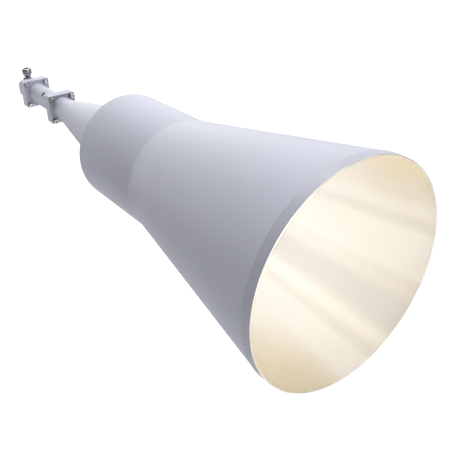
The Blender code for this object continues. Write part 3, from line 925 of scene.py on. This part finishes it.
def cutter(name, profile, segments, tilt=None, centre=(0, 0, 0), axis="Z", wall=0):
    bm = bmesh.new()
    rings = []
    for along, r in profile:
        if r < 1e-7:
            rings.append([bm.verts.new((0, 0, along) if axis == "Z" else (0, along, 0))])
        else:
            rings.append(
                [
                    bm.verts.new(
                        (r * math.cos(TAU * k / segments), r * math.sin(TAU * k / segments), along)
                        if axis == "Z"
                        else (r * math.cos(TAU * k / segments), along, r * math.sin(TAU * k / segments))
                    )
                    for k in range(segments)
                ]
            )
    for a, b in zip(rings, rings[1:]):
        for k in range(segments):
            m = (k + 1) % segments
            if len(a) == 1:
                bm.faces.new((a[0], b[k], b[m]))
            elif len(b) == 1:
                bm.faces.new((a[k], a[m], b[0]))
            else:
                bm.faces.new((a[k], a[m], b[m], b[k]))
    bmesh.ops.recalc_face_normals(bm, faces=bm.faces)
    for face in bm.faces:
        face.material_index = wall
    if tilt is not None:
        bm.transform(tilt)
    bm.transform(Matrix.Translation(centre))
    mesh = bpy.data.meshes.new(name)
    bm.to_mesh(mesh)
    bm.free()
    obj = bpy.data.objects.new(name, mesh)
    bpy.context.scene.collection.objects.link(obj)
    return obj


def carve(obj, others, operation="DIFFERENCE"):
    for other in others:
        modifier = obj.modifiers.new("carve", "BOOLEAN")
        modifier.operation = operation
        modifier.solver = "EXACT"
        modifier.object = other
    applied(obj)
    for other in others:
        bpy.data.objects.remove(other, do_unlink=True)
    obj.data.shade_smooth()
    obj.data.set_sharp_from_angle(angle=math.radians(30))
    return obj


# The port's wall takes the tube's third slot, the near-black painted shade.
tube = transition_piece()
carve(
    tube,
    [
        cutter(
            "port_cutter",
            [
                (PORT_BOTTOM_R, 0),
                (PORT_BOTTOM_R, PORT_R),
                (TRANSITION_R + 2 * MM, PORT_R),
                (TRANSITION_R + 2 * MM, 0),
            ],
            72,
            port_frame,
            wall=2,
        )
    ],
)

# The plug: a sealing screw with a shallow round recess in its top, seen at the bottom of the port.
lathe(
    "port_plug_screw",
    softened(
        [
            (PORT_BOTTOM_R + GAP, 0, 0, 0),
            (PORT_BOTTOM_R + GAP, PORT_R - 0.5 * MM, 0, 0),
            (PORT_BOTTOM_R + 0.9 * MM, PORT_R - 0.5 * MM, 0.2 * MM, 0),
            (PORT_BOTTOM_R + 0.9 * MM, 1.5 * MM, 0.1 * MM, 0),
            (PORT_BOTTOM_R + 0.5 * MM, 1.4 * MM, 0, 0),
            (PORT_BOTTOM_R + 0.5 * MM, 0, 0, 0),
        ],
        3,
    ),
    [PAINT],
    "port_plug",
    48,
    "Z",
    tilt=port_frame,
)


# --------------------------------------------------------------------- adapter
def body_outline(inset):
    return rounded_rectangle(BODY_W - 2 * inset, BODY_H - 2 * inset, BODY_CORNER - inset)


body = slab(
    "adapter_block",
    body_outline,
    [guide_outline],
    y_of(back("adapter_flange")),
    y_of(BODY_S1 + 0.1 * MM),
    [PAINT, BORE],
    "adapter_body",
    edge=0.35 * MM,
    opening_mat=1,
    weighted=False,
)
boss_back = y_of(BODY_S1 - 0.2 * MM)
boss_front = JACK_Y - BOSS / 2


def boss_outline(inset):
    depth = boss_back - boss_front
    return rounded_rectangle(BOSS - 2 * inset, depth - 2 * inset, 1.2 * MM - min(inset, 1.0 * MM), 5)


boss = slab(
    "adapter_boss",
    boss_outline,
    [],
    BODY_H / 2 - 3.4 * MM,
    BOSS_TOP,
    [PAINT],
    None,
    axis="Z",
    centre=(0, (boss_back + boss_front) / 2),
    weighted=False,
)
carve(body, [boss], "UNION")
carve(
    body,
    [
        cutter(
            "probe_cutter",
            [(GUIDE_H / 2 - 2 * MM, 0), (GUIDE_H / 2 - 2 * MM, PROBE_HOLE_R), (BOSS_TOP + 2 * MM, PROBE_HOLE_R), (BOSS_TOP + 2 * MM, 0)],
            48,
            centre=(0, JACK_Y, 0),
        )
    ],
)
slab(
    "adapter_end_plate",
    body_outline,
    [],
    y_of(BODY_S1 + 0.22 * MM),
    y_of(BACKSHORT_S1),
    [PAINT],
    "backshort_plate",
    edge=0.5 * MM,
)

# ------------------------------------------------------------------ coaxial jack
tapped = [(sx * JACK_SCREW, sy * JACK_SCREW) for sx in (-1, 1) for sy in (-1, 1)]


def jack_outline(inset):
    return rounded_rectangle(JACK_PLATE - 2 * inset, JACK_PLATE - 2 * inset, 1.0 * MM - min(inset, 0.8 * MM), 5)


def jack_holes(radius):
    return [(lambda spare, x=x, y=y: circle(x, y, radius + spare, 20)) for x, y in tapped]


slab(
    "jack_gasket",
    lambda inset: jack_outline(inset + 0.15 * MM),
    [lambda spare: circle(0, 0, PROBE_HOLE_R + spare, 32), *jack_holes(1.4 * MM)],
    BOSS_TOP + 0.05 * MM,
    JACK_PLATE_Z0 - 0.03 * MM,
    [ELASTOMER],
    "connector_gasket",
    edge=0.1 * MM,
    axis="Z",
    centre=(0, JACK_Y),
    steps=2,
)

PITCH = 25.4 / 24 * MM
THREAD_R = 7.93 * MM
THREAD_DEPTH = 0.60 * MM
THREAD_Z0, THREAD_Z1 = 26.1 * MM, 30.2 * MM


def jack_thread(along, r, theta):
    """A right-hand 24-per-inch thread over the barrel, run out at both ends."""
    if r > 7.2 * MM and THREAD_Z0 - 0.01 * MM <= along <= THREAD_Z1 + 0.01 * MM:
        t = (along / PITCH - theta / TAU) % 1.0
        wave = abs(2 * t - 1)
        crest = min(1.0, max(0.0, (wave - 0.12) / 0.76))
        fade = min(1.0, (along - THREAD_Z0) / (0.5 * PITCH), (THREAD_Z1 - along) / (0.3 * PITCH))
        r -= THREAD_DEPTH * (1 - crest) * max(0.0, fade)
    return along, r


plate_z = JACK_PLATE_Z1
neck_profile = [
    (plate_z - 0.4 * MM, PROBE_HOLE_R, 0, 0),
    (plate_z - 0.4 * MM, 4.9 * MM, 0, 0),
    (plate_z + 0.35 * MM, 4.9 * MM, 0.2 * MM, 0),
    (plate_z + 0.6 * MM, 4.1 * MM, 0.15 * MM, 0),
    (18.4 * MM, 4.1 * MM, 0.8 * MM, 0),
    (19.3 * MM, 4.5 * MM, 0.5 * MM, 0),
    (21.5 * MM, 6.1 * MM, 1.6 * MM, 0),
    (23.7 * MM, 7.3 * MM, 1.6 * MM, 0),
    (25.6 * MM, 7.93 * MM, 0.5 * MM, 0),
]
thread_rows = 72
barrel = softened(
    neck_profile
    + [(THREAD_Z0 + (THREAD_Z1 - THREAD_Z0) * k / thread_rows, THREAD_R, 0, 0) for k in range(thread_rows + 1)]
    + [
        (THREAD_Z1 + 0.12 * MM, THREAD_R - 0.05 * MM, 0, 0),
        (JACK_TOP - 0.9 * MM, 7.2 * MM, 0.8 * MM, 0),
        (JACK_TOP, 6.2 * MM, 0.25 * MM, 0),
        (JACK_TOP, 5.1 * MM, 0.16 * MM, 0),
        (JACK_TOP - 0.9 * MM, 4.3 * MM, 0.1 * MM, 0),
        (23.0 * MM, 4.3 * MM, 0, 0),
        (23.0 * MM, PROBE_HOLE_R, 0, 0),
    ],
    4,
)
shell = lathe(
    "jack_shell",
    barrel,
    [NICKEL],
    "connector_shell",
    144,
    "Z",
    (0, JACK_Y, 0),
    jack_thread,
    40.0,
)
base_plate = slab(
    "jack_plate",
    jack_outline,
    [lambda spare: circle(0, 0, PROBE_HOLE_R + spare, 32), *jack_holes(1.3 * MM)],
    JACK_PLATE_Z0,
    JACK_PLATE_Z1,
    [NICKEL],
    None,
    edge=0.22 * MM,
    axis="Z",
    centre=(0, JACK_Y),
)
base_plate.parent = None
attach(base_plate, "root")

lathe(
    "jack_dielectric",
    softened(
        [
            (GUIDE_H / 2 + 0.2 * MM, 0.95 * MM, 0, 0),
            (GUIDE_H / 2 + 0.2 * MM, PROBE_HOLE_R - 0.1 * MM, 0.15 * MM, 0),
            (23.3 * MM, PROBE_HOLE_R - 0.1 * MM, 0, 0),
            (23.3 * MM, 4.22 * MM, 0, 0),
            (25.2 * MM, 4.22 * MM, 0.2 * MM, 0),
            (25.2 * MM, 2.4 * MM, 0.1 * MM, 0),
            (24.7 * MM, 2.3 * MM, 0, 0),
            (24.7 * MM, 0.95 * MM, 0, 0),
        ],
        3,
    ),
    [PTFE],
    "dielectric",
    64,
    "Z",
    (0, JACK_Y, 0),
)


def slotted(along, r, theta):
    """Four slots part the socket into leaves, which close in a little at the top."""
    if along > 26.6 * MM and r > 0.8 * MM:
        quarter = (theta + math.pi / 4) % (math.pi / 2) - math.pi / 4
        across = abs(r * math.sin(quarter))
        if r > 1.2 * MM:
            if across < 0.16 * MM:
                r -= 0.42 * MM
        r -= 0.05 * MM * (along - 26.6 * MM) / (3.6 * MM)
    return along, r


lathe(
    "jack_contact",
    softened(
        [
            (-0.6 * MM, 0, 0, 0),
            (-0.6 * MM, 0.65 * MM, 0.1 * MM, 0),
            (24.9 * MM, 0.65 * MM, 0, 0),
            (25.1 * MM, 1.5 * MM, 0.1 * MM, 0),
            (26.6 * MM, 1.5 * MM, 0, 0),
            (26.7 * MM, 1.5 * MM, 0, 0),
            (30.1 * MM, 1.5 * MM, 0.2 * MM, 0),
            (30.2 * MM, 0.9 * MM, 0.1 * MM, 0),
            (26.4 * MM, 0.85 * MM, 0, 0),
            (26.4 * MM, 0, 0, 0),
        ],
        3,
    ),
    [GOLD],
    "centre_contact",
    96,
    "Z",
    (0, JACK_Y, 0),
    slotted,
)
lathe(
    "jack_probe",
    softened(
        [
            (-1.8 * MM, 0, 0, 0),
            (-1.8 * MM, 1.6 * MM, 0.4 * MM, 0),
            (4.9 * MM, 1.6 * MM, 0.1 * MM, 0),
            (4.9 * MM, 0.75 * MM, 0, 0),
            (-0.9 * MM, 0.75 * MM, 0, 0),
            (-0.9 * MM, 0, 0, 0),
        ],
        4,
    ),
    [GOLD],
    "probe_tip",
    48,
    "Z",
    (0, JACK_Y, 0),
)


# -------------------------------------------------------------------- hardware
def thread_shape(pitch, crest, depth, a0, a1):
    def at(along, r, theta):
        if a0 <= along <= a1 and abs(r - crest) < 0.02 * MM:
            t = (along / pitch + theta / TAU) % 1.0
            r -= depth * (1 - abs(2 * t - 1))
        return along, r

    return at


def drive_head(name, x, z, face, turn):
    """A socket cap screw: knurled head with a crowned edge, a hexagon socket, and a threaded end that stands out of the nut."""
    bm = bmesh.new()
    count = 72
    head_y1 = face - 0.02 * MM - WASHER_T - 0.02 * MM
    head_y0 = face - GAP - WASHER_T - GAP - HEAD_H
    end = face + JOINT_T + GAP + LOCK_T + GAP + NUT_H + 1.6 * MM

    def loop(points, y):
        return [bm.verts.new((x + a, y, z + b)) for a, b in points]

    def knurl(r, depth):
        return [
            (
                (r - (depth if k % 2 else 0)) * math.cos(turn + TAU * k / count),
                (r - (depth if k % 2 else 0)) * math.sin(turn + TAU * k / count),
            )
            for k in range(count)
        ]

    def ring(r):
        return [(r * math.cos(turn + TAU * k / count), r * math.sin(turn + TAU * k / count)) for k in range(count)]

    socket = polygon(0, 0, 3.4 * MM, turn, 4)
    wide = polygon(0, 0, 3.4 * MM + 0.3 * MM, turn, 4)
    lip = [loop(wide, head_y0), loop(socket, head_y0 + 0.14 * MM), loop(socket, head_y0 + 2.3 * MM)]
    skin(bm, lip, 0)
    floor = loop([(a * 0.25, b * 0.25) for a, b in socket], head_y0 + 2.8 * MM)
    skin(bm, [lip[-1], floor], 0)
    fill(bm, [floor], 0)
    outside = [loop(ring(HEAD_R - 0.62 * MM), head_y0)]
    for k in range(1, 5):
        a = math.pi / 2 * k / 4
        outside.append(
            loop(ring(HEAD_R - 0.55 * MM + 0.55 * MM * math.sin(a)), head_y0 + 0.55 * MM * (1 - math.cos(a)))
        )
    outside.append(loop(knurl(HEAD_R, 0.09 * MM), head_y0 + 0.75 * MM))
    outside.append(loop(knurl(HEAD_R, 0.09 * MM), head_y1 - 0.45 * MM))
    outside.append(loop(ring(HEAD_R), head_y1 - 0.3 * MM))
    outside.append(loop(ring(HEAD_R - 0.15 * MM), head_y1))
    outside.append(loop(ring(SHANK_R), head_y1))
    outside.append(loop(ring(SHANK_R), face + JOINT_T))
    pitch, depth = 0.7 * MM, 0.28 * MM
    y = face + JOINT_T + 0.1 * MM
    stop = end - 0.4 * MM
    while y < stop:
        points = []
        for k in range(count):
            t = (y / pitch - k / count) % 1.0
            r = SHANK_R - depth * (1 - abs(2 * t - 1))
            points.append((r * math.cos(turn + TAU * k / count), r * math.sin(turn + TAU * k / count)))
        outside.append(loop(points, y))
        y += pitch / 6
    outside.append(loop(ring(SHANK_R - 0.35 * MM), end - 0.2 * MM))
    outside.append(loop(ring(SHANK_R - 0.5 * MM), end))
    skin(bm, outside, 0)
    fill(bm, [lip[0], outside[0]], 0)
    fill(bm, [outside[-1]], 0)
    return bm


def hex_nut(x, z, start, turn):
    """A chamfered hexagon nut with its countersunk hole."""
    bm = bmesh.new()
    count = 72
    apothem = NUT_AF / 2
    corner_r = apothem / math.cos(math.pi / 6)

    def hex_r(theta):
        local = (theta - math.pi / 6) % (math.pi / 3) - math.pi / 6
        return apothem / math.cos(local)

    def loop(radius_of, y):
        return [
            bm.verts.new((x + radius_of(TAU * k / count) * math.cos(turn + TAU * k / count), y, z + radius_of(TAU * k / count) * math.sin(turn + TAU * k / count)))
            for k in range(count)
        ]

    rise = (corner_r - apothem * 0.97) * math.tan(math.radians(28))
    loops = []
    levels = [0, 0.2, 0.4, 0.6, 0.8, 1.0]
    for t in levels:
        limit = apothem * 0.97 + (corner_r - apothem * 0.97) * t
        loops.append(loop(lambda a, limit=limit: min(hex_r(a), limit), start + rise * t))
    for t in reversed(levels):
        limit = apothem * 0.97 + (corner_r - apothem * 0.97) * t
        loops.append(loop(lambda a, limit=limit: min(hex_r(a), limit), start + NUT_H - rise * t))
    inner = [
        loop(lambda a: HOLE_R + 0.25 * MM, start + NUT_H),
        loop(lambda a: SHANK_R + 0.05 * MM, start + NUT_H - 0.35 * MM),
        loop(lambda a: SHANK_R + 0.05 * MM, start + 0.35 * MM),
        loop(lambda a: HOLE_R + 0.25 * MM, start),
    ]
    skin(bm, [*loops, *inner, loops[0]], 0)
    return bm


def flat_washer(x, z, y0, y1):
    bm = bmesh.new()
    count = 64

    def loop(r, y):
        return [bm.verts.new((x + r * math.cos(TAU * k / count), y, z + r * math.sin(TAU * k / count))) for k in range(count)]

    soft = 0.14 * MM
    loops = [
        loop(WASHER_R - soft, y0),
        loop(WASHER_R - 0.3 * soft, y0 + 0.3 * soft),
        loop(WASHER_R, y0 + soft),
        loop(WASHER_R, y1 - soft),
        loop(WASHER_R - soft, y1),
        loop(HOLE_R + 0.1 * MM, y1),
        loop(HOLE_R + 0.1 * MM, y0),
    ]
    skin(bm, [*loops, loops[0]], 0)
    return bm


def spring_washer(x, z, y0, turn):
    """A lock washer: a square-section ring cut through on a slant, its ends a hair apart."""
    bm = bmesh.new()
    count, cut = 60, math.radians(6)
    sections = []
    for i in range(count + 1):
        a = turn + cut + (TAU - 2 * cut) * i / count
        lift = 0.10 * MM * (i / count - 0.5)
        ring = []
        for r, y in ((HOLE_R, 0.0), (LOCK_R, 0.0), (LOCK_R, LOCK_T), (HOLE_R, LOCK_T)):
            slant = 0.28 * (y / LOCK_T - 0.5)
            ring.append(bm.verts.new((x + r * math.cos(a + slant), y0 + y + lift, z + r * math.sin(a + slant))))
        sections.append(ring)
    for a, b in zip(sections, sections[1:]):
        for k in range(4):
            m = (k + 1) % 4
            bm.faces.new((a[k], a[m], b[m], b[k]))
    bm.faces.new(sections[0])
    bm.faces.new(sections[-1])
    return bm


for joint_name, node in (("throat", "throat_flange"), ("guide", "transition_rear_flange")):
    face = y_of(THROAT_FLANGE_S if joint_name == "throat" else REAR_FLANGE_S)
    number = 0
    for sz in (1, -1):
        for sx in (-1, 1):
            number += 1
            x, z = sx * HOLE_DX, sz * HOLE_DZ
            turn = 0.35 + 1.9 * number + (0.8 if joint_name == "guide" else 0.0)
            finish(
                drive_head("head", x, z, face, turn),
                f"{joint_name}_cap_screw_{number}",
                [STEEL],
                f"{joint_name}_screw_{number}",
                34.0,
                merge=False,
            )
            finish(
                flat_washer(x, z, face - 0.02 * MM - WASHER_T, face - 0.02 * MM),
                f"{joint_name}_flat_washer_{number}",
                [STEEL_PLAIN],
                f"{joint_name}_washer_{number}",
                40.0,
            )
            finish(
                spring_washer(x, z, face + JOINT_T + 0.12 * MM, turn * 1.7),
                f"{joint_name}_spring_washer_{number}",
                [STEEL_PLAIN],
                f"{joint_name}_lock_washer_{number}",
                40.0,
            )
            finish(
                hex_nut(x, z, face + JOINT_T + GAP + LOCK_T + GAP - 0.25 * MM, turn * 0.6),
                f"{joint_name}_hex_nut_{number}",
                [STEEL_PLAIN],
                f"{joint_name}_nut_{number}",
                40.0,
            )


def pan_screw(x, y, turn):
    """A small pan-head screw; one straight slot is cut into its head afterwards."""
    bm = bmesh.new()
    count = 48
    z0 = JACK_PLATE_Z1 + 0.02 * MM

    def loop(r, z):
        return [bm.verts.new((x + r * math.cos(TAU * k / count), y + r * math.sin(TAU * k / count), z)) for k in range(count)]

    loops = [loop(1.1 * MM, 9.6 * MM), loop(1.1 * MM, z0), loop(1.98 * MM, z0), loop(2.05 * MM, z0 + 0.12 * MM), loop(2.05 * MM, z0 + 0.95 * MM)]
    for k in range(1, 6):
        a = math.pi / 2 * k / 6
        loops.append(loop(1.45 * MM + 0.6 * MM * math.cos(a), z0 + 0.95 * MM + 0.8 * MM * math.sin(a)))
    loops.append(loop(0.6 * MM, z0 + 1.78 * MM))
    skin(bm, loops, 0)
    fill(bm, [loops[0]], 0)
    fill(bm, [loops[-1]], 0)
    return bm


for i, (x, y) in enumerate(tapped):
    piece = finish(
        pan_screw(x, JACK_Y + y, 0.0),
        f"jack_pan_screw_{i + 1}",
        [STEEL_PLAIN],
        f"connector_screw_{i + 1}",
        34.0,
    )
    turn = 0.5 + 1.1 * i
    bm = bmesh.new()
    bmesh.ops.create_cube(bm, size=1.0)
    bm.transform(
        Matrix.Translation((x, JACK_Y + y, JACK_PLATE_Z1 + 1.7 * MM))
        @ Matrix.Rotation(turn, 4, "Z")
        @ Matrix.Diagonal((6 * MM, 0.55 * MM, 1.0 * MM, 1))
    )
    mesh = bpy.data.meshes.new("slot")
    bm.to_mesh(mesh)
    bm.free()
    slot_cut = bpy.data.objects.new("slot_cutter", mesh)
    bpy.context.scene.collection.objects.link(slot_cut)
    carve(piece, [slot_cut])


# ------------------------------------------------------------------- the stage
def area(name, place, target, size, power, colour=(1, 1, 1)):
    light = bpy.data.lights.new(name, "AREA")
    light.shape = "RECTANGLE"
    light.size, light.size_y = size
    light.energy = power
    light.color = colour
    obj = bpy.data.objects.new(name, light)
    obj.location = place
    direction = Vector(target) - Vector(place)
    obj.rotation_euler = direction.to_track_quat("-Z", "Y").to_euler()
    bpy.context.scene.collection.objects.link(obj)
    return obj


FLOOR_Z = -0.42
bm = bmesh.new()
bmesh.ops.create_grid(bm, x_segments=8, y_segments=8, size=14.0)
bm.transform(Matrix.Translation((0, 0, FLOOR_Z)))
floor_mesh = bpy.data.meshes.new("floor")
bm.to_mesh(floor_mesh)
bm.free()
floor = bpy.data.objects.new("floor", floor_mesh)
floor_graph = Graph("pale_floor")
floor_graph.set("Base Color", floor_graph.mix(floor_graph.noise(floor_graph.place, 1.5), (0.69, 0.69, 0.695), (0.71, 0.71, 0.71)))
floor_graph.set("Roughness", 0.9)
floor_graph.set("Specular IOR Level", 0.1)
# The floor is lit from below as well, as a translucent sweep is, and more so away from the object.
distance = floor_graph.add("ShaderNodeVectorMath", operation="LENGTH")
floor_graph.link(floor_graph.place, distance.inputs[0])
seen = floor_graph.add("ShaderNodeLightPath").outputs["Is Camera Ray"]
floor_graph.set("Emission Color", (1.0, 1.0, 1.0, 1.0))
floor_graph.set(
    "Emission Strength",
    floor_graph.math("ADD", floor_graph.remap(distance.outputs["Value"], 0.9, 2.4, 0.0, 0.26, smooth=True), floor_graph.math("MULTIPLY", seen, 0.52)),
)
floor_mesh.materials.append(floor_graph.material)
bpy.context.scene.collection.objects.link(floor)

# The room is lit softly from behind the object and from the side that its mouth faces: (azimuth, height, strength) in degrees.
world = bpy.data.worlds.new("studio")
bpy.context.scene.world = world
world.use_nodes = True
room = world.node_tree
around = room.nodes.new("ShaderNodeTexCoord").outputs["Generated"]
total = None
for azimuth, height, strength in ((45.0, 4.0, 1.50), (90.0, 4.0, 1.80), (225.0, 4.0, 0.27), (270.0, 4.0, 0.22)):
    a, h = math.radians(azimuth), math.radians(height)
    facing = room.nodes.new("ShaderNodeVectorMath")
    facing.operation = "DOT_PRODUCT"
    room.links.new(around, facing.inputs[0])
    facing.inputs[1].default_value = (math.cos(a) * math.cos(h), math.sin(a) * math.cos(h), math.sin(h))
    last = facing.outputs["Value"]
    for operation, value in (("MAXIMUM", 0.0), ("POWER", 5.0), ("MULTIPLY", strength)):
        step = room.nodes.new("ShaderNodeMath")
        step.operation = operation
        room.links.new(last, step.inputs[0])
        step.inputs[1].default_value = value
        last = step.outputs["Value"]
    if total is not None:
        both = room.nodes.new("ShaderNodeMath")
        both.operation = "ADD"
        room.links.new(total, both.inputs[0])
        room.links.new(last, both.inputs[1])
        last = both.outputs["Value"]
    total = last
# Beyond the floor the room looks plain white.
plain = room.nodes.new("ShaderNodeMath")
plain.operation = "ADD"
room.links.new(total, plain.inputs[0])
room.links.new(room.nodes.new("ShaderNodeLightPath").outputs["Is Camera Ray"], plain.inputs[1])
room.nodes["Background"].inputs["Color"].default_value = (1.0, 1.0, 1.0, 1.0)
room.links.new(plain.outputs["Value"], room.nodes["Background"].inputs["Strength"])

area("key", (0.5, 0.9, 2.2), (0, 0, 0), (1.6, 1.6), 47.0)
area("key_right", (1.3, 0.2, 1.9), (0, 0, 0), (1.6, 1.6), 8.5)
area("top_left", (-1.0, 0.3, 1.9), (0, 0, 0), (1.2, 1.2), 5.0)
area("front", (0.0, -1.9, 0.15), (0, -0.3, 0), (0.7, 0.7), 49.0)
area("front_high", (0.1, -1.5, 1.2), (0, -0.3, 0), (0.7, 0.7), 2.4)
area("front_high_right", (0.9, -1.3, 1.0), (0, -0.3, 0), (0.7, 0.7), 2.0)
area("rear_left", (-0.3, 0.85, -0.1), (0, 0.25, 0), (0.4, 0.3), 0.4).visible_camera = False

# The camera, at the photograph's viewing angle.
camera_data = bpy.data.cameras.new("camera")
camera_data.sensor_width = 36.0
camera_data.sensor_fit = "HORIZONTAL"
camera_data.lens = 49.54
camera_data.shift_x = 0.0382
camera_data.shift_y = -0.0149
camera_data.clip_start = 0.01
camera_data.clip_end = 60.0
camera = bpy.data.objects.new("camera", camera_data)
right = Vector((0.81261665, -0.58129213, -0.04187638))
up = Vector((0.31300534, 0.37469493, 0.87271494))
forward = Vector((0.49161146, 0.72229022, -0.48643088))
turn = Matrix((right, up, -forward)).transposed().to_4x4()
camera.matrix_world = Matrix.Translation((-0.32954, -0.59179, 0.29580)) @ turn
bpy.context.scene.collection.objects.link(camera)
bpy.context.scene.camera = camera
bpy.context.scene.view_settings.view_transform = "Standard"
